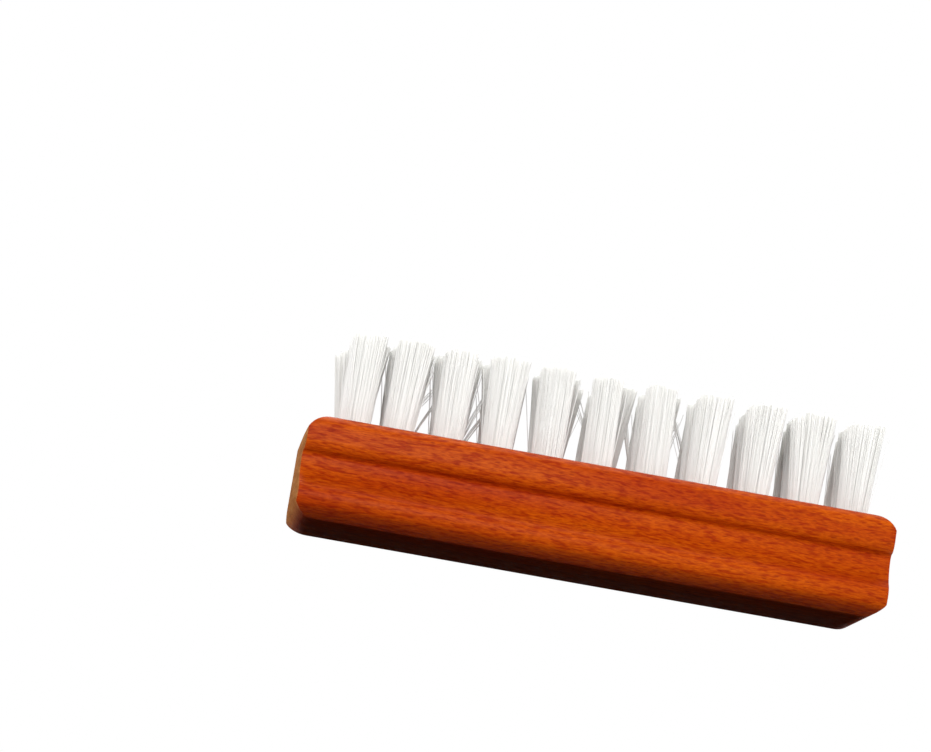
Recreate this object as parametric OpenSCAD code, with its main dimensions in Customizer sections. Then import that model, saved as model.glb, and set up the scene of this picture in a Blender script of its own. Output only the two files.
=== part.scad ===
// Suede brush: a grooved hardwood block with three rows of white nylon tufts.
// +X runs along the block, +Z points the way the bristles stand, and the origin is
// the middle of the flat back. All sizes are in millimetres.

/* [Block] */
// Length of the block over its bowed ends
block_l = 111.4; // [96:0.1:130]
// Height of the block, from the flat back to the tuft face
block_h = 18.8; // [18:0.1:26]
// Width over the bulge low on the sides, the widest place
bulge_w = 32; // [30:0.5:36]
// Width over the bead beside the tuft face
bead_w = 30.6; // [29:0.2:32]
// Width between the deepest lines of the two side grooves
waist_w = 24.6; // [23:0.2:27]
// Width of the flat back
back_w = 23; // [16:0.5:25]

/* [Side profile] */
// Depth from the tuft face to where the bead turns under
bead_h = 4.6; // [3:0.1:5]
// Radius of the long edges at the tuft face
edge_r = 2; // [0.5:0.1:2.5]
// Radius under the bead
bead_r = 2.1; // [1:0.1:2.5]
// Radius of the small cove at the top of the groove
cove_r = 1; // [1:0.1:2]
// Radius of the hollow flank below the cove
flank_r = 6.5; // [5:0.1:8]
// Radius of the bulge
bulge_r = 2.5; // [1.5:0.1:2.9]

/* [Ends] */
// Bow of the ends, from their middle to the widest lines of the sides
end_bow = 0.7; // [0.4:0.1:2]
// Radius of the end corners at the tuft face, seen from the side
end_face_r = 5; // [1:0.1:5.5]
// Radius of the end corners at the back, seen from the side
end_back_r = 4.5; // [0.5:0.1:5]

/* [Tuft pattern] */
// Tufts in each row
tuft_n = 11; // [8:1:12]
// Distance from the ends of the block to the middle of the first and last holes
end_margin = 8.7; // [8:0.1:12]
// Distance between the rows
row_pitch = 7.4; // [7:0.1:8]
// Diameter of the tuft holes
hole_d = 6; // [5:0.1:6.2]
// Depth of the tuft holes
hole_depth = 9; // [6:0.5:12]
// Clearance round a tuft in its hole
tuft_clear = 0.05; // [0.02:0.01:0.2]

/* [Bristles] */
// Free length of the bristles above the tuft face
bristle_l = 18; // [10:0.5:24]
// Gap between the tips of two tufts of a row, before they lean
tip_gap_l = 1; // [0.8:0.1:2]
// Gap between the tips of two rows
tip_gap_w = 0.5; // [0.3:0.1:0.8]
// Drop of the tips from the middle of a tuft to its rim
tip_dome = 0.7; // [0:0.1:2]
// Ragged difference between the longest and shortest tips
tip_rag = 1.2; // [0:0.1:2]
// Gap between two strands where they leave the hole
strand_gap = 0.3; // [0.2:0.01:0.5]
// Strands round the core of a tuft
core_n = 4; // [3:1:5]
// Strands round the rim of a tuft
rim_n = 9; // [7:1:10]

/* [Anchors] */
// Length of an anchor's grip in the wood at each end
anchor_bite = 0.5; // [0.2:0.1:0.6]
// Height of the anchor wire
anchor_h = 2; // [1:0.1:3]
// Thickness of the anchor wire
anchor_t = 0.4; // [0.2:0.05:0.6]
// Thickness of the folded filaments under the anchor
fold_t = 1; // [0.5:0.1:2]
// Turn of the anchors from the length of the block
anchor_turn = 45; // [0:5:90]
// Clearance round an anchor
anchor_clear = 0.03; // [0.01:0.01:0.1]

/* [Hidden] */
// Overlap of cutting shapes past the faces they cut
over = 1;
$fn = 64;

// Tuft rows, from the front (-Y) to the back
ROWS = ["front", "middle", "back"];

// Two-digit number of a tuft in its row
function tuft_no(i) = str(i < 9 ? "0" : "", i + 1);

// Side profile of the block: x is out from the middle, y is up from the back
waist_x = waist_w / 2;
edge_x = bead_w / 2 - edge_r;
bead_x = bead_w / 2 - bead_r;
bead_y = block_h - bead_h;
// The cove touches the round under the bead, and its deepest line is the waist
cove_x = waist_x + cove_r;
waist_y = bead_y - sqrt(pow(bead_r + cove_r, 2) - pow(cove_x - bead_x, 2));
// The hollow flank starts at the waist and touches the bulge
flank_x = waist_x + flank_r;
bulge_x = bulge_w / 2 - bulge_r;
bulge_y = waist_y - sqrt(pow(flank_r + bulge_r, 2) - pow(flank_x - bulge_x, 2));
// The underside of the bulge runs straight to the edge of the back, as a tangent
foot_x = back_w / 2;
foot_d = norm([bulge_x - foot_x, bulge_y]);
foot_a = atan2(bulge_y, bulge_x - foot_x) - asin(bulge_r / foot_d);
foot_l = sqrt(pow(foot_d, 2) - pow(bulge_r, 2));

// Radius of the bowed ends, seen from above, and the short straight steps that each is cut in
end_r = (pow(bulge_w / 2, 2) + pow(end_bow, 2)) / (2 * end_bow);
end_steps = 12;

// Distance that the bow takes off an end, at y from the middle
function bow(y) = end_r - sqrt(pow(end_r, 2) - pow(y, 2));

// Distance between the tufts of a row
tuft_pitch = (block_l - 2 * end_margin) / (tuft_n - 1);

// Middle of a tuft hole: i counts along the row, j counts the rows from the front
function tuft_x(i) = (i - (tuft_n - 1) / 2) * tuft_pitch;
function tuft_y(j) = (j - (len(ROWS) - 1) / 2) * row_pitch;

// Root of a tuft, packed in its hole
root_d = hole_d - 2 * tuft_clear;
// Inset of the strands from the rim of the root
strand_inset = 0.1;
// Depth to which the strands run into the root
strand_root = 0.6;
// Height of the bend in a strand, as a share of the free length
bend_at = 0.45;
// Share of the flare that is reached at the bend
bend_flare = 0.36;
// Largest lean of a tuft's tips along the block
tuft_lean = 0.3;
// Width of a tuft at its tips, along and across the block
tip_l = tuft_pitch - tip_gap_l;
tip_w = row_pitch - tip_gap_w;
rim_r = root_d / 2 - strand_inset;
core_r = 0.5 * rim_r;
core_in = 0.16 * rim_r;

// Number from 0 to 1 that looks random and is the same each time
function mix(k) = let (s = sin(k * 78.233) * 437.585) s - floor(s);

// Corners of a strand's section: its ring's inner and outer radius, its turn and its half angle
function strand_section(r0, r1, turn, half) = [
    for (c = [[r0, -1], [r1, -1], [r1, 1], [r0, 1]])
        let (a = turn + c[1] * (half - asin(strand_gap / 2 / c[0])))
            [c[0] * cos(a), c[0] * sin(a)]
];

// Sections of a tuft's strands where they leave the hole: a core of a few and a rim of more
function tuft_strands(turn) = concat(
    [for (k = [0:core_n - 1]) strand_section(core_in, core_r, turn + k * 360 / core_n, 180 / core_n)],
    [for (k = [0:rim_n - 1]) strand_section(core_r + strand_gap, rim_r, turn + k * 360 / rim_n, 180 / rim_n)]
);

// Flare of a tuft along and across the block, at a share of its full flare
function flare(share) = [
    1 + share * (tip_l / 2 / rim_r - 1),
    1 + share * (tip_w / 2 / rim_r - 1)
];

// One height of a strand: section points spread by the flare, leaned along X and lifted to z
function strand_ring(pts, share, lean, z) = let (f = flare(share))
    [for (p = pts) [p[0] * f[0] + share * lean, p[1] * f[1], z - tip_dome * share * pow(norm(p) / rim_r, 2)]];

module strand(pts, lean, drop) {
    rings = concat(
        strand_ring(pts, 0, 0, -strand_root),
        strand_ring(pts, bend_flare, lean, bristle_l * bend_at),
        strand_ring(pts, 1, lean, bristle_l - drop)
    );
    sides = [
        for (h = [0, 4], k = [0:3]) let (a = h + k, b = h + (k + 1) % 4)
            each [[a, a + 4, b], [b, a + 4, b + 4]]
    ];
    polyhedron(rings, concat([[0, 1, 2], [0, 2, 3]], sides, [[8, 10, 9], [8, 11, 10]]));
}

module anchor_blank(clear) {
    // Flat wire on edge across the fold, at the bottom of the hole
    rotate(anchor_turn)
        translate([0, 0, fold_t - hole_depth + anchor_h / 2])
            cube([hole_d + 2 * (anchor_bite + clear), anchor_t + 2 * clear, anchor_h + 2 * clear], center = true);
}

module tuft(i, j) {
    seed = i + tuft_n * j + 1;
    lean = tuft_lean * (2 * mix(seed) - 1);
    strands = tuft_strands(360 * mix(seed + 0.5));
    color("whitesmoke") translate([tuft_x(i), tuft_y(j), block_h]) {
        difference() {
            translate([0, 0, -hole_depth]) cylinder(h = hole_depth, d = root_d);
            anchor_blank(anchor_clear);
        }
        for (k = [0:len(strands) - 1]) strand(strands[k], lean, tip_rag * mix(seed * 17 + k * 3.7));
    }
}

module anchors() {
    color("silver") for (i = [0:tuft_n - 1], j = [0:len(ROWS) - 1])
        translate([tuft_x(i), tuft_y(j), block_h]) anchor_blank(0);
}

module half_profile() {
    difference() {
        union() {
            polygon([
                [0, 0],
                [foot_x, 0],
                [foot_x + foot_l * cos(foot_a), foot_l * sin(foot_a)],
                [bulge_x, bulge_y],
                [flank_x, waist_y],
                [cove_x, waist_y],
                [bead_x, bead_y],
                [bead_w / 2, bead_y],
                [bead_w / 2, block_h - edge_r],
                [edge_x, block_h - edge_r],
                [edge_x, block_h],
                [0, block_h]
            ]);
            translate([bulge_x, bulge_y]) circle(bulge_r);
            translate([bead_x, bead_y]) circle(bead_r);
            translate([edge_x, block_h - edge_r]) circle(edge_r);
        }
        // Cove above the waist, hollow flank below it
        intersection() {
            translate([cove_x, waist_y]) circle(cove_r);
            translate([waist_x - over, waist_y]) square(2 * cove_r + over);
        }
        intersection() {
            translate([flank_x, waist_y]) circle(flank_r);
            translate([waist_x - over, waist_y - flank_r]) square([2 * flank_r, flank_r]);
        }
    }
}

module end_corner(r) {
    // What a rounded corner takes off a square one
    difference() {
        square(r + over);
        circle(r);
    }
}

module elevation() {
    difference() {
        translate([-block_l / 2 - over, 0]) square([block_l + 2 * over, block_h]);
        for (m = [0, 1]) mirror([m, 0]) {
            translate([block_l / 2 - end_face_r, block_h - end_face_r]) end_corner(end_face_r);
            translate([block_l / 2 - end_back_r, end_back_r]) mirror([0, 1]) end_corner(end_back_r);
        }
    }
}

module plan() {
    // The block from above, with a step more than the bow at each side
    last = end_steps / 2 + 1;
    polygon([
        for (m = [1, -1], k = [-last:last])
            let (y = m * k * bulge_w / end_steps) [m * (block_l / 2 - bow(y)), y]
    ]);
}

module block() {
    color("chocolate") difference() {
        intersection() {
            rotate([90, 0, 90]) linear_extrude(block_l + 2 * over, center = true)
                for (m = [0, 1]) mirror([m, 0]) half_profile();
            rotate([90, 0, 0]) linear_extrude(bulge_w + 2 * over, center = true) elevation();
            translate([0, 0, -over]) linear_extrude(block_h + 2 * over) plan();
        }
        for (i = [0:tuft_n - 1], j = [0:len(ROWS) - 1]) translate([tuft_x(i), tuft_y(j), block_h]) {
            translate([0, 0, -hole_depth]) cylinder(h = hole_depth + over, d = hole_d);
            anchor_blank(anchor_clear);
        }
    }
}

block();
anchors();
for (i = [0:tuft_n - 1], j = [0:len(ROWS) - 1])
    tuft(i, j);
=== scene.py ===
import math

import bpy
import numpy as np
from mathutils import Matrix, Vector


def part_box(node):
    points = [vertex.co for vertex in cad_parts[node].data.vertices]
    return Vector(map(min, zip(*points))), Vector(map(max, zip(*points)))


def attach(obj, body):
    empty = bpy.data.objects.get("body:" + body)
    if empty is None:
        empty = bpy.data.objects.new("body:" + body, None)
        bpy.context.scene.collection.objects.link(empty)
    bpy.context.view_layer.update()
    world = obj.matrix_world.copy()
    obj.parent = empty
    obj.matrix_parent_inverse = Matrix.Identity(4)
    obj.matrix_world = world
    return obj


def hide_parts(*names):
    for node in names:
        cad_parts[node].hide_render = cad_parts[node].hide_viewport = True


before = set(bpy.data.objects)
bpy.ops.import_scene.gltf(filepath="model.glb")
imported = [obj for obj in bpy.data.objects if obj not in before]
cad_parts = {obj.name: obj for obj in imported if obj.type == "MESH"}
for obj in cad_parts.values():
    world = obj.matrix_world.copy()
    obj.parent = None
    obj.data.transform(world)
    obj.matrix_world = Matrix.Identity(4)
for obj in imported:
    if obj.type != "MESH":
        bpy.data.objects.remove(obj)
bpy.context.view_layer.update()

MM = 0.001

# Block: the side profile's sizes in millimetres, round the box that the frame gives
BEAD_W = 30.6
WAIST_W = 24.6
BACK_W = 23.0
BEAD_H = 4.6
EDGE_R = 2.0
BEAD_R = 2.1
COVE_R = 1.0
FLANK_R = 6.5
BULGE_R = 2.5
END_FACE_R = 5.0
END_BACK_R = 4.5
END_BOW = 0.7
BOW_STEPS = 12
ARRIS_R = 0.35
ARC_STEP = 9.0
ARRIS_ANGLE = 35.0
SMOOTH_ANGLE = 32.0

# Tuft holes, in millimetres
ROWS = ("front", "middle", "back")
TUFTS = 11
HOLE_D = 6.0
HOLE_DEPTH = 9.0
DRILL_SIDES = 40

# Filaments: sizes in millimetres, and shares of a tuft's half width at the tips
FILAMENT_D = 0.17
FILAMENTS = 1100
FILAMENT_SIDES = 3
FILAMENT_STATIONS = (0.0, 0.2, 0.45, 0.72, 1.0)
ROOT_IN_HOLE = 2.5
ROOT_CLEAR = 0.05
PRESSED = 0.6
CLUMPS = 24
CLUMP_PULL = 0.04
SPOT_STRAY = 0.02
TURN_STRAY = 0.05
FLARE = (1.05, 1.35)
BOW = 0.06
TIP_DOME = 0.4
CLUMP_RAG = 0.6
TIP_RAG = 0.4
STRAYS = 4
STRAY_SPREAD = (1.1, 1.4)
STRAY_DROP = (0.5, 3.0)
LOOSE_SPREAD = (0.2, 1.2)
FILAMENT_ANGLE = 80.0

# Holes stray from an even pitch, as hand-fed drilling leaves them: millimetres along X, by column
HOLE_STRAY = {
    "front": (0.5, -0.8, -0.9, -1.1, -1.0, -1.0, 0.0, 0.0, 0.6, 0.7, 0.7),
    "middle": (0.5, -0.6, -0.4, -0.3, -0.9, 0.5, -0.1, 0.0, 1.0, 0.8, 1.1),
    "back": (0.5, -0.6, -0.4, -0.3, 0.4, -0.4, -0.1, 0.0, 0.9, 0.5, 1.1),
}

# Tips of each tuft, in millimetres: left and right edge from the hole, extra height, left fall
TIPS = {
    "front": (
        (-3.1, 3.5, 0.0, 0.5), (-2.6, 4.2, 0.4, 0.6), (-3.1, 3.1, 0.0, 0.9), (-3.6, 3.9, 0.5, 0.4),
        (-3.5, 2.9, 0.5, 0.9), (-2.9, 2.6, 0.2, 0.8), (-3.2, 2.5, 0.5, 0.9), (-3.0, 3.8, 0.5, 0.9),
        (-3.2, 4.0, 0.8, 1.2), (-4.3, 4.2, 0.6, 1.6), (-3.4, 4.1, 0.4, 1.4),
    ),
    "middle": (
        (-3.0, 4.6, 0.1, 0.6), (-3.7, 4.6, 0.0, 0.5), (-4.8, 4.2, 0.3, 0.8), (-5.2, 3.6, 0.2, 0.4),
        (-4.2, 4.8, 0.1, 0.6), (-3.4, 4.9, 0.1, 0.7), (-3.4, 4.6, 0.0, 0.9), (-3.4, 4.6, 0.1, 0.6),
        (-3.6, 4.6, 0.0, 1.0), (-3.6, 4.5, 0.1, 0.9), (-3.2, 4.2, 0.0, 0.8),
    ),
    "back": (
        (-5.0, 4.6, 0.0, 1.6), (-3.3, 4.9, 0.2, 0.6), (-3.5, 4.8, 0.1, 0.7), (-4.1, 4.2, 0.1, 0.5),
        (-3.8, 5.2, 0.0, 0.6), (-2.3, 4.6, 0.0, 1.2), (-2.5, 5.0, 0.1, 0.7), (-2.1, 5.2, 0.0, 0.8),
        (-2.8, 5.4, -0.1, 0.9), (-2.6, 5.2, 0.0, 0.8), (-2.1, 5.0, 0.0, 0.7),
    ),
}

# Loose strands that splay out of a tuft: how many, and their root and tip from the hole along X
SPLAYS = {
    "tuft_middle_02": (6, -0.8, 8.4),
    "tuft_back_02": (8, 2.6, 10.0),
    "tuft_middle_03": (6, 1.9, 8.0),
    "tuft_back_03": (8, 2.4, 10.5),
    "tuft_back_06": (8, 2.1, -4.7),
    "tuft_back_07": (8, -1.3, -5.6),
    "tuft_back_08": (8, 0.3, -5.5),
}

# Camera: millimetres and degrees, nearly square to the long side, a little below the back and rolled
CAMERA_PLACE = Vector((-77.2, -624.9, -90.6)) * MM
CAMERA_TURN = math.radians(4.58)
CAMERA_RISE = math.radians(11.19)
CAMERA_ROLL = math.radians(9.41)
CAMERA_LENS = 131.5
SENSOR = 36.0

# Lamps, in metres and watts: the front one stands nearly behind the camera, so it fills the gaps between rows
LAMP_SIZE = 0.5
LAMP_AIM = (0.0, 0.0, 0.018)
LAMPS = {
    "front": ((-0.2, -0.97, 0.2), 8.0),
    "top": ((0.0, 0.0, 1.0), 5.0),
    "right": ((0.85, -0.5, 0.3), 3.2),
    "back": ((-0.1, 0.6, 0.75), 4.0),
}
SKY_LIGHT = 0.15

# Floor: sizes in metres, the tint that the camera sees, and the darker one that lights the brush from below
FLOOR_SIZE = 3.0
FLOOR_DROP = 0.00005
FLOOR_LIFT = 0.2
FLOOR_THROUGH = 0.045
FLOOR_SEEN = "#EDEDEC"
FLOOR_BOUNCE = "#C8C8C8"

# White filaments pass light on many times before it dies
LIGHT_BOUNCES = 32


def hex_color(code):
    """An sRGB hex colour as linear RGBA."""
    def linear(c):
        return c / 12.92 if c <= 0.04045 else ((c + 0.055) / 1.055) ** 2.4
    return tuple(linear(int(code[i:i + 2], 16) / 255) for i in (1, 3, 5)) + (1.0,)


def add_node(tree, kind, inputs=None, **settings):
    """Adds a node, sets its properties, and sets or links its inputs by name or number."""
    node = tree.nodes.new(kind)
    for key, value in settings.items():
        setattr(node, key, value)
    for key, value in (inputs or {}).items():
        socket = node.inputs[key]
        if isinstance(value, bpy.types.NodeSocket):
            tree.links.new(value, socket)
        else:
            socket.default_value = value
    return node


def new_material(name):
    material = bpy.data.materials.new(name)
    material.use_nodes = True
    material.node_tree.nodes.clear()
    return material, material.node_tree


def set_ramp(node, stops):
    """Places the stops of a colour ramp: a position and a colour each."""
    elements = node.color_ramp.elements
    while len(elements) < len(stops):
        elements.new(1.0)
    for element, (place, color) in zip(elements, stops):
        element.position = place
        element.color = color


def stretched_noise(tree, vector, scale, detail):
    """Noise whose features are 1/scale millimetres long on each axis."""
    mapping = add_node(tree, "ShaderNodeMapping", {"Vector": vector, "Scale": scale})
    noise = add_node(
        tree, "ShaderNodeTexNoise", {"Vector": mapping.outputs[0], "Scale": 1.0, "Detail": detail}
    )
    return noise.outputs["Fac"]


def select_only(obj):
    bpy.ops.object.select_all(action="DESELECT")
    obj.select_set(True)
    bpy.context.view_layer.objects.active = obj


def apply_modifier(obj, kind, **settings):
    select_only(obj)
    modifier = obj.modifiers.new(kind.lower(), kind)
    for key, value in settings.items():
        setattr(modifier, key, value)
    bpy.ops.object.modifier_apply(modifier=modifier.name)


def named(name):
    obj = bpy.context.object
    obj.name = name
    obj.data.name = name
    return obj


def arc(cy, cz, r, start, end):
    """Points on a circle from one angle to another, in degrees, both ends included."""
    steps = max(2, round(abs(end - start) / ARC_STEP))
    turns = [math.radians(start + (end - start) * k / steps) for k in range(steps + 1)]
    return [(cy + r * math.cos(t), cz + r * math.sin(t)) for t in turns]


def side_profile(width, height):
    """The block's outline from the foot on the +Y side to the tuft face, then mirrored."""
    edge_y = BEAD_W / 2 - EDGE_R
    bead_y = BEAD_W / 2 - BEAD_R
    bead_z = height - BEAD_H
    cove_y = WAIST_W / 2 + COVE_R
    waist_z = bead_z - math.sqrt((BEAD_R + COVE_R) ** 2 - (cove_y - bead_y) ** 2)
    flank_y = WAIST_W / 2 + FLANK_R
    bulge_y = width / 2 - BULGE_R
    bulge_z = waist_z - math.sqrt((FLANK_R + BULGE_R) ** 2 - (flank_y - bulge_y) ** 2)
    foot = (BACK_W / 2, 0.0)
    foot_d = math.hypot(bulge_y - foot[0], bulge_z)
    foot_turn = math.degrees(math.atan2(bulge_z, bulge_y - foot[0]) - math.asin(BULGE_R / foot_d))
    flank_turn = math.degrees(math.atan2(waist_z - bulge_z, flank_y - bulge_y))
    cove_turn = math.degrees(math.atan2(bead_z - waist_z, bead_y - cove_y))
    side = [foot]
    side += arc(bulge_y, bulge_z, BULGE_R, foot_turn - 90, flank_turn)
    side += arc(flank_y, waist_z, FLANK_R, flank_turn + 180, 180)[1:]
    side += arc(cove_y, waist_z, COVE_R, 180, cove_turn)[1:]
    side += arc(bead_y, bead_z, BEAD_R, cove_turn - 180, 0)[1:]
    side += arc(edge_y, height - EDGE_R, EDGE_R, 0, 90)
    return side + [(-y, z) for y, z in reversed(side)]


def elevation(length, height):
    """The block seen from the side, past its ends, with the four end corners rounded off."""
    half = length / 2
    corner = arc(half - END_BACK_R, END_BACK_R, END_BACK_R, 270, 360)
    corner += [(half + 1, END_BACK_R), (half + 1, height - END_FACE_R)]
    corner += arc(half - END_FACE_R, height - END_FACE_R, END_FACE_R, 0, 90)
    return corner + [(-x, z) for x, z in reversed(corner)]


def plan(length, width):
    """The block seen from above, with its ends bowed in short straight steps."""
    radius = ((width / 2) ** 2 + END_BOW ** 2) / (2 * END_BOW)
    steps = range(-BOW_STEPS // 2 - 1, BOW_STEPS // 2 + 2)
    across = [k * width / BOW_STEPS for k in steps]
    end = [(length / 2 - radius + math.sqrt(radius ** 2 - y ** 2), y) for y in across]
    return end + [(-x, -y) for x, y in end]


def make_prism(name, outline, run):
    """A flat outline of points in metres, extruded by a vector."""
    bpy.ops.object.select_all(action="DESELECT")
    bpy.ops.mesh.primitive_circle_add(vertices=len(outline), fill_type="NGON")
    prism = named(name)
    for vertex, point in zip(prism.data.vertices, outline):
        vertex.co = point
    bpy.ops.object.mode_set(mode="EDIT")
    bpy.ops.mesh.select_all(action="SELECT")
    bpy.ops.mesh.extrude_region_move(TRANSFORM_OT_translate={"value": run})
    bpy.ops.mesh.select_all(action="SELECT")
    bpy.ops.mesh.normals_make_consistent(inside=False)
    bpy.ops.object.mode_set(mode="OBJECT")
    return prism


def make_block():
    """The moulded block: profile along X, cut to its elevation and its plan, then drilled."""
    low, high = (Vector(corner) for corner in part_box("block"))
    length, width, height = ((high - low) / MM)
    side = [(low.x - MM, y * MM, low.z + z * MM) for y, z in side_profile(width, height)]
    block = make_prism("beech_block", side, (high.x - low.x + 2 * MM, 0, 0))
    front = [(x * MM, low.y - MM, low.z + z * MM) for x, z in elevation(length, height)]
    above = [(x * MM, y * MM, low.z - MM) for x, y in plan(length, width)]
    cuts = (
        ("INTERSECT", make_prism("elevation", front, (0, high.y - low.y + 2 * MM, 0))),
        ("INTERSECT", make_prism("plan", above, (0, 0, high.z - low.z + 2 * MM))),
        ("DIFFERENCE", make_drill(high.z)),
    )
    for operation, cutter in cuts:
        apply_modifier(block, "BOOLEAN", operation=operation, object=cutter, solver="EXACT")
        bpy.data.objects.remove(cutter)
    apply_modifier(
        block, "BEVEL", width=ARRIS_R * MM, segments=3, limit_method="ANGLE",
        angle_limit=math.radians(ARRIS_ANGLE), miter_outer="MITER_ARC",
    )
    select_only(block)
    bpy.ops.object.shade_smooth_by_angle(angle=math.radians(SMOOTH_ANGLE))
    return block


def tuft_center(name):
    """Middle of a tuft's hole in the tuft face."""
    low, high = (Vector(corner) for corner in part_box(name))
    return (low + high) / 2


def hole_places():
    """The hole centres: evenly spaced between the first and last tufts of each row, then strayed."""
    places = {}
    for row in ROWS:
        ends = [tuft_center(f"tuft_{row}_{n:02d}") for n in (1, TUFTS)]
        reach = round((ends[1].x - ends[0].x) / 2 / MM) * MM
        for i in range(TUFTS):
            name = f"tuft_{row}_{i + 1:02d}"
            along = reach * (2 * i / (TUFTS - 1) - 1) + HOLE_STRAY[row][i] * MM
            places[name] = Vector((along, tuft_center(name).y, 0))
    return places


def make_drill(face_z):
    """One flat-ended drill for each tuft, all in one cutter."""
    bpy.ops.object.select_all(action="DESELECT")
    bpy.ops.mesh.primitive_cylinder_add(
        vertices=DRILL_SIDES, radius=HOLE_D / 2 * MM, depth=(HOLE_DEPTH + 1) * MM
    )
    bit = named("drill")
    bpy.ops.object.select_all(action="DESELECT")
    copies = []
    for place in hole_places().values():
        copy = bit.copy()
        copy.data = bit.data.copy()
        bpy.context.collection.objects.link(copy)
        copy.data.transform(Matrix.Translation((place.x, place.y, face_z + (1 - HOLE_DEPTH) / 2 * MM)))
        copies.append(copy)
    for copy in copies:
        copy.select_set(True)
    bpy.context.view_layer.objects.active = copies[0]
    bpy.ops.object.join()
    bpy.data.objects.remove(bit)
    return copies[0]


def make_filament():
    """One straight filament of unit length along Z, cut square at both ends."""
    bpy.ops.object.select_all(action="DESELECT")
    bpy.ops.mesh.primitive_circle_add(
        vertices=FILAMENT_SIDES, radius=FILAMENT_D / 2 * MM, fill_type="NGON", location=(0, 0, 0)
    )
    filament = named("filament")
    bpy.ops.object.mode_set(mode="EDIT")
    bpy.ops.mesh.select_all(action="SELECT")
    for lower, upper in zip(FILAMENT_STATIONS, FILAMENT_STATIONS[1:]):
        bpy.ops.mesh.extrude_region_move(TRANSFORM_OT_translate={"value": (0, 0, upper - lower)})
    bpy.ops.mesh.select_all(action="SELECT")
    bpy.ops.mesh.normals_make_consistent(inside=False)
    bpy.ops.object.mode_set(mode="OBJECT")
    return filament


def make_tuft(name, place, face_z, length, half_w, shape, splay, rng, filament):
    """Over a thousand filaments out of one hole: packed at the root, flared and ragged at the tips."""
    left, right, rise, fall = shape
    base = np.array([v.co for v in filament.data.vertices])
    faces = [list(p.vertices) for p in filament.data.polygons]
    n = FILAMENTS
    k = np.arange(n)
    rho = np.sqrt((k + 0.5) / n)
    phi = k * math.pi * (3 - math.sqrt(5)) + rng.normal(0, TURN_STRAY, n)
    unit = np.stack([rho * np.cos(phi), rho * np.sin(phi)], 1)
    root = unit * (HOLE_D / 2 - FILAMENT_D / 2 - ROOT_CLEAR)
    # At the tips the round tuft is pressed nearly square by its neighbours
    square = 1 / np.maximum(np.abs(np.cos(phi)), np.abs(np.sin(phi)))
    spot = unit * (1 + PRESSED * (square - 1))[:, None]
    # Filaments stick together in clumps, whose tips part a little
    seats = rng.uniform(-1, 1, (CLUMPS, 2))
    clump = np.argmin(((spot[:, None] - seats[None]) ** 2).sum(2), 1)
    spot += (seats[clump] - spot) * CLUMP_PULL + rng.normal(0, SPOT_STRAY, (n, 2))
    strays = rng.choice(n, STRAYS, replace=False, p=rho ** 4 / (rho ** 4).sum())
    spot[strays] *= rng.uniform(*STRAY_SPREAD, (STRAYS, 1))
    tip = spot * [(right - left) / 2, half_w]
    tip[:, 0] += (left + right) / 2
    # The cut ends: level on the right, lower on the left, stepped from clump to clump
    across = np.clip(-spot[:, 0], 0, 1.2)
    drop = TIP_DOME * np.abs(spot[:, 1]) ** 3 + fall * across ** 2.5
    drop += CLUMP_RAG * rng.random(CLUMPS)[clump] + TIP_RAG * rng.random(n)
    drop[strays] += rng.uniform(*STRAY_DROP, STRAYS)
    if splay:
        count, start, end = splay
        loose = rng.choice(n, count, replace=False)
        away = rng.uniform(-1, 1, (count, 2)) * LOOSE_SPREAD
        root[loose] = away + [start, 0]
        tip[loose] = away * 2 + [end, 0]
    reach = tip - root
    top = np.sqrt((length + rise - drop) ** 2 - (reach ** 2).sum(1))
    curve = rng.uniform(*FLARE, n)
    height = -ROOT_IN_HOLE + base[None, :, 2] * (top + ROOT_IN_HOLE)[:, None]
    part = np.clip(height / top[:, None], 0, 1)
    share = part ** curve[:, None]
    bow = rng.normal(0, BOW, (n, 2))
    wave = np.sin(part * math.pi)
    xy = root[:, None] + reach[:, None] * share[:, :, None] + bow[:, None] * wave[:, :, None]
    points = np.empty((n, len(base), 3))
    points[:, :, :2] = xy * MM + base[None, :, :2]
    points[:, :, 2] = height * MM
    points += np.array([place.x, place.y, face_z])
    step = len(base)
    all_faces = [[i + j * step for i in face] for j in range(n) for face in faces]
    tuft_mesh = bpy.data.meshes.new(name)
    tuft_mesh.from_pydata(points.reshape(-1, 3).tolist(), [], all_faces)
    tone = tuft_mesh.attributes.new("tone", "FLOAT", "POINT")
    tone.data.foreach_set("value", np.repeat(rng.random(n), step).astype(np.float32))
    tuft_mesh.update()
    tuft = bpy.data.objects.new(name, tuft_mesh)
    bpy.context.collection.objects.link(tuft)
    select_only(tuft)
    bpy.ops.object.shade_smooth_by_angle(angle=math.radians(FILAMENT_ANGLE))
    return tuft


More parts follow.
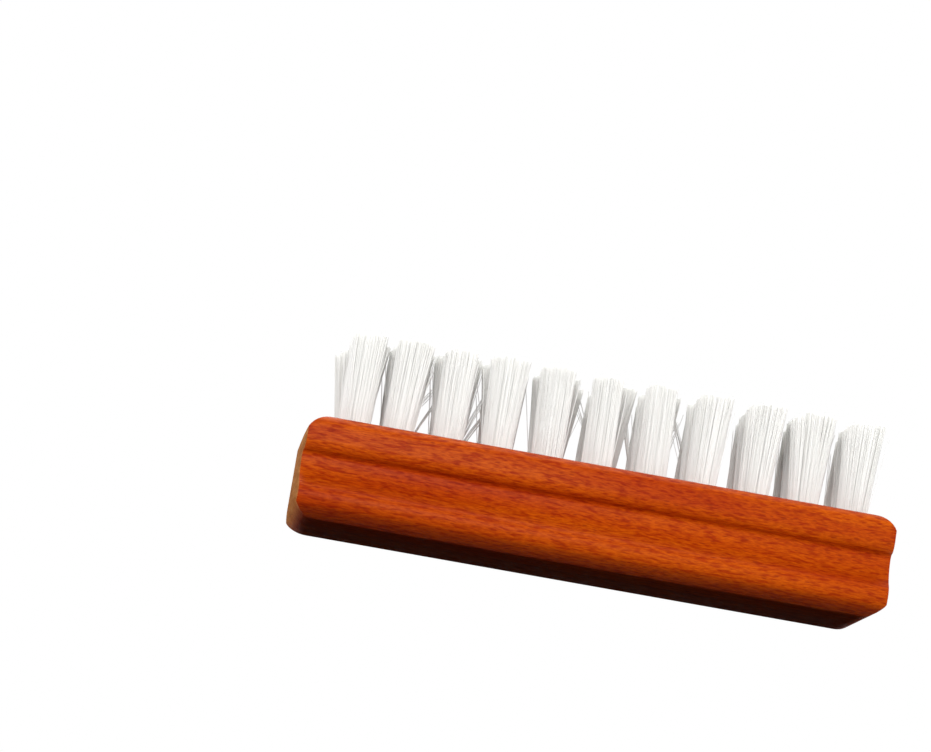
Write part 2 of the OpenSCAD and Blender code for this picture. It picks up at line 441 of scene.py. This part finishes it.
def make_beech():
    """Steamed beech, orange-red stain under satin varnish: dense short dashes of ray along the grain."""
    material, tree = new_material("stained_beech")
    place = add_node(tree, "ShaderNodeTexCoord")
    mm = add_node(tree, "ShaderNodeMapping", {"Vector": place.outputs["Object"], "Scale": (1000, 1000, 1000)})
    mm = mm.outputs["Vector"]
    # Slow wander that keeps the grain from running dead straight
    wander = add_node(tree, "ShaderNodeTexNoise", {"Vector": mm, "Scale": 0.045, "Detail": 2.0})
    bent = add_node(
        tree, "ShaderNodeVectorMath", {0: wander.outputs["Color"], 1: (0, 1.6, 1.6)}, operation="MULTIPLY"
    )
    grain = add_node(tree, "ShaderNodeVectorMath", {0: mm, 1: bent.outputs[0]}, operation="ADD").outputs[0]
    # Growth bands 4 mm wide, dashes 2.4 x 0.5 mm, fibres 1 x 0.2 mm, and darker rays 1.5 x 0.4 mm
    bands = stretched_noise(tree, grain, (0.02, 0.25, 0.25), 2.0)
    dashes = stretched_noise(tree, grain, (0.42, 2.1, 2.1), 1.0)
    fibres = stretched_noise(tree, grain, (0.9, 5.0, 5.0), 2.0)
    cells = add_node(tree, "ShaderNodeMapping", {"Vector": grain, "Scale": (0.5, 1.8, 1.8)})
    rays = add_node(tree, "ShaderNodeTexVoronoi", {"Vector": cells.outputs[0], "Scale": 1.0})
    size = add_node(tree, "ShaderNodeSeparateColor", {"Color": rays.outputs["Color"]})
    edge = add_node(
        tree, "ShaderNodeMapRange",
        {"Value": size.outputs[0], "From Min": 0.3, "From Max": 1.0, "To Min": 0.0, "To Max": 0.36},
    )
    inside = add_node(
        tree, "ShaderNodeMath", {0: edge.outputs[0], 1: rays.outputs["Distance"]}, operation="SUBTRACT"
    )
    fleck = add_node(
        tree, "ShaderNodeMapRange",
        {"Value": inside.outputs[0], "From Min": -0.05, "From Max": 0.2}, interpolation_type="SMOOTHSTEP",
    ).outputs[0]
    stain = add_node(tree, "ShaderNodeValToRGB", {"Fac": bands})
    set_ramp(stain, [(0.35, hex_color("#B54102")), (0.5, hex_color("#BF4E03")), (0.65, hex_color("#C85805"))])
    dash = add_node(tree, "ShaderNodeValToRGB", {"Fac": dashes})
    set_ramp(dash, [(0.34, hex_color("#D8AC94")), (0.5, hex_color("#F6EEE8")), (0.7, hex_color("#FFFFFF"))])
    body = add_node(
        tree, "ShaderNodeMix", {"Factor": 1.0, 6: stain.outputs[0], 7: dash.outputs[0]},
        data_type="RGBA", blend_type="MULTIPLY",
    )
    fibre = add_node(tree, "ShaderNodeValToRGB", {"Fac": fibres})
    set_ramp(fibre, [(0.36, hex_color("#D8BCA8")), (0.62, hex_color("#FFFFFF"))])
    fine = add_node(
        tree, "ShaderNodeMix", {"Factor": 0.8, 6: body.outputs[2], 7: fibre.outputs[0]},
        data_type="RGBA", blend_type="MULTIPLY",
    )
    dark = add_node(
        tree, "ShaderNodeMix", {"Factor": fleck, 6: fine.outputs[2], 7: hex_color("#943005")},
        data_type="RGBA",
    )
    # End grain takes less stain: paler, with faint rings and dark pores, drawn coarser than the real 0.1 mm
    facing = add_node(tree, "ShaderNodeSeparateXYZ", {0: place.outputs["Normal"]})
    end = add_node(tree, "ShaderNodeMath", {0: facing.outputs[0]}, operation="ABSOLUTE")
    end_part = add_node(
        tree, "ShaderNodeMapRange", {"Value": end.outputs[0], "From Min": 0.45, "From Max": 0.8}
    ).outputs[0]
    pores = add_node(tree, "ShaderNodeMapping", {"Vector": mm, "Scale": (0.3, 2.2, 2.2)})
    dots = add_node(tree, "ShaderNodeTexVoronoi", {"Vector": pores.outputs[0], "Scale": 1.0})
    dot = add_node(
        tree, "ShaderNodeMapRange", {"Value": dots.outputs["Distance"], "From Min": 0.1, "From Max": 0.35}
    )
    rings = stretched_noise(tree, mm, (0.05, 0.16, 0.9), 2.0)
    ring = add_node(tree, "ShaderNodeValToRGB", {"Fac": rings})
    set_ramp(ring, [(0.35, hex_color("#B8723A")), (0.65, hex_color("#D08B4C"))])
    end_color = add_node(
        tree, "ShaderNodeMix", {"Factor": dot.outputs[0], 6: hex_color("#8E4E22"), 7: ring.outputs[0]},
        data_type="RGBA",
    )
    color = add_node(
        tree, "ShaderNodeMix", {"Factor": end_part, 6: dark.outputs[2], 7: end_color.outputs[2]},
        data_type="RGBA",
    )
    satin = add_node(tree, "ShaderNodeMapRange", {"Value": dashes, "To Min": 0.55, "To Max": 0.38})
    rough = add_node(
        tree, "ShaderNodeMapRange", {"Value": end_part, "To Min": satin.outputs[0], "To Max": 0.9}
    )
    relief = add_node(tree, "ShaderNodeMath", {0: fleck, 1: -0.7, 2: dashes}, operation="MULTIPLY_ADD")
    bump = add_node(
        tree, "ShaderNodeBump", {"Strength": 0.5, "Distance": 0.00006, "Height": relief.outputs[0]}
    )
    shader = add_node(tree, "ShaderNodeBsdfPrincipled", {
        "Base Color": color.outputs[2], "Roughness": rough.outputs[0], "Normal": bump.outputs[0],
        "IOR": 1.5, "Specular IOR Level": 0.06,
    })
    add_node(tree, "ShaderNodeOutputMaterial", {"Surface": shader.outputs[0]})
    return material


def make_nylon():
    """Extruded white nylon filament, cut square: milky, so light seeps through and the tuft glows."""
    material, tree = new_material("white_nylon")
    tone = add_node(tree, "ShaderNodeAttribute", attribute_name="tone")
    color = add_node(tree, "ShaderNodeValToRGB", {"Fac": tone.outputs["Fac"]})
    set_ramp(color, [(0.0, hex_color("#F4F4F2")), (0.3, hex_color("#FAFAF9")), (1.0, hex_color("#FDFDFC"))])
    skin = add_node(tree, "ShaderNodeBsdfPrincipled", {
        "Base Color": color.outputs[0], "Roughness": 0.42, "IOR": 1.53, "Specular IOR Level": 0.3,
    })
    milk = add_node(tree, "ShaderNodeBsdfTranslucent", {"Color": color.outputs[0]})
    shader = add_node(tree, "ShaderNodeMixShader", {0: 0.45, 1: skin.outputs[0], 2: milk.outputs[0]})
    add_node(tree, "ShaderNodeOutputMaterial", {"Surface": shader.outputs[0]})
    return material


def make_wire():
    """Bright drawn steel wire, rolled flat: fine lines along its length."""
    material, tree = new_material("drawn_steel_wire")
    place = add_node(tree, "ShaderNodeTexCoord")
    lines = add_node(
        tree, "ShaderNodeMapping",
        {"Vector": place.outputs["Object"], "Rotation": (0, 0, math.radians(45)), "Scale": (400, 9000, 9000)},
    )
    noise = add_node(tree, "ShaderNodeTexNoise", {"Vector": lines.outputs[0], "Scale": 1.0})
    rough = add_node(
        tree, "ShaderNodeMapRange", {"Value": noise.outputs["Fac"], "To Min": 0.25, "To Max": 0.45}
    )
    shader = add_node(tree, "ShaderNodeBsdfPrincipled", {
        "Base Color": hex_color("#C4C4C2"), "Metallic": 1.0, "Roughness": rough.outputs[0],
    })
    add_node(tree, "ShaderNodeOutputMaterial", {"Surface": shader.outputs[0]})
    return material


def make_floor():
    """Pale translucent light table: keeps the brush's shadow, and is clear when seen from below."""
    material, tree = new_material("light_table_acrylic")
    path = add_node(tree, "ShaderNodeLightPath")
    side = add_node(tree, "ShaderNodeNewGeometry")
    tint = add_node(
        tree, "ShaderNodeMix",
        {"Factor": path.outputs["Is Camera Ray"], 6: hex_color(FLOOR_BOUNCE), 7: hex_color(FLOOR_SEEN)},
        data_type="RGBA",
    )
    top = add_node(tree, "ShaderNodeBsdfDiffuse", {"Color": tint.outputs[2]})
    through = add_node(tree, "ShaderNodeBsdfTranslucent", {"Color": tint.outputs[2]})
    sheet = add_node(
        tree, "ShaderNodeMixShader", {0: FLOOR_THROUGH, 1: top.outputs[0], 2: through.outputs[0]}
    )
    lift = add_node(tree, "ShaderNodeEmission", {"Color": hex_color("#FFFFFF"), "Strength": FLOOR_LIFT})
    shown = add_node(tree, "ShaderNodeMixShader", {0: path.outputs["Is Camera Ray"]})
    both = add_node(tree, "ShaderNodeAddShader", {0: sheet.outputs[0], 1: lift.outputs[0]})
    tree.links.new(sheet.outputs[0], shown.inputs[1])
    tree.links.new(both.outputs[0], shown.inputs[2])
    below = add_node(
        tree, "ShaderNodeMath", {0: side.outputs["Backfacing"], 1: path.outputs["Is Camera Ray"]},
        operation="MULTIPLY",
    )
    clear = add_node(tree, "ShaderNodeBsdfTransparent")
    surface = add_node(
        tree, "ShaderNodeMixShader", {0: below.outputs[0], 1: shown.outputs[0], 2: clear.outputs[0]}
    )
    add_node(tree, "ShaderNodeOutputMaterial", {"Surface": surface.outputs[0]})
    bpy.ops.object.select_all(action="DESELECT")
    bpy.ops.mesh.primitive_plane_add(size=FLOOR_SIZE, location=(0, 0, -FLOOR_DROP))
    floor = named("floor")
    floor.data.materials.append(material)


def make_world():
    """White behind the object, soft grey light on it."""
    world = bpy.data.worlds.new("studio")
    world.use_nodes = True
    tree = world.node_tree
    tree.nodes.clear()
    path = add_node(tree, "ShaderNodeLightPath")
    seen = add_node(
        tree, "ShaderNodeMath", {0: path.outputs["Is Camera Ray"], 1: path.outputs["Is Glossy Ray"]},
        operation="MAXIMUM",
    )
    seen = add_node(
        tree, "ShaderNodeMath", {0: seen.outputs[0], 1: path.outputs["Is Transmission Ray"]},
        operation="MAXIMUM",
    )
    soft = add_node(tree, "ShaderNodeBackground", {"Color": hex_color("#FFFFFF"), "Strength": SKY_LIGHT})
    white = add_node(tree, "ShaderNodeBackground", {"Color": hex_color("#FFFFFF"), "Strength": 1.0})
    mixed = add_node(
        tree, "ShaderNodeMixShader", {0: seen.outputs[0], 1: soft.outputs[0], 2: white.outputs[0]}
    )
    add_node(tree, "ShaderNodeOutputWorld", {"Surface": mixed.outputs[0]})
    bpy.context.scene.world = world


def add_lamp(name, place, power):
    """A square soft lamp pointed at the brush."""
    light = bpy.data.lights.new(name, "AREA")
    light.size = LAMP_SIZE
    light.energy = power
    lamp = bpy.data.objects.new(name, light)
    lamp.location = place
    lamp.rotation_euler = (Vector(LAMP_AIM) - Vector(place)).to_track_quat("-Z", "Y").to_euler()
    bpy.context.collection.objects.link(lamp)


def add_camera():
    data = bpy.data.cameras.new("camera")
    data.lens = CAMERA_LENS
    data.sensor_width = SENSOR
    data.sensor_fit = "HORIZONTAL"
    data.clip_start = 0.01
    camera = bpy.data.objects.new("camera", data)
    turn = Matrix.Rotation(-CAMERA_TURN, 4, "Z")
    rise = Matrix.Rotation(math.pi / 2 + CAMERA_RISE, 4, "X")
    roll = Matrix.Rotation(CAMERA_ROLL, 4, "Z")
    camera.matrix_world = Matrix.Translation(CAMERA_PLACE) @ turn @ rise @ roll
    bpy.context.collection.objects.link(camera)
    bpy.context.scene.camera = camera


beech = make_beech()
nylon = make_nylon()
wire = make_wire()

add_camera()
for lamp_name, (lamp_place, power) in LAMPS.items():
    add_lamp(lamp_name, lamp_place, power)
make_world()
make_floor()

face_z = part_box("block")[1][2]
block = make_block()
block.data.materials.clear()
block.data.materials.append(beech)
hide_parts("block")
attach(block, "root")

filament = make_filament()
places = hole_places()
for r, row in enumerate(ROWS):
    for i in range(TUFTS):
        node = f"tuft_{row}_{i + 1:02d}"
        low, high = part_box(node)
        rng = np.random.default_rng(1 + i + TUFTS * r)
        half_w = (high[1] - low[1]) / 2 / MM
        length = (high[2] - face_z) / MM
        tuft = make_tuft(
            f"bristles_{row}_{i + 1:02d}", places[node], face_z, length, half_w,
            TIPS[row][i], SPLAYS.get(node), rng, filament
        )
        tuft.data.materials.append(nylon)
        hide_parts(node)
        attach(tuft, "root")
bpy.data.objects.remove(filament)

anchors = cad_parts["anchors"]
for slot in anchors.material_slots:
    slot.material = wire

bpy.context.scene.view_settings.view_transform = "Standard"
for limit in ("max_bounces", "diffuse_bounces", "transmission_bounces"):
    setattr(bpy.context.scene.cycles, limit, LIGHT_BOUNCES)
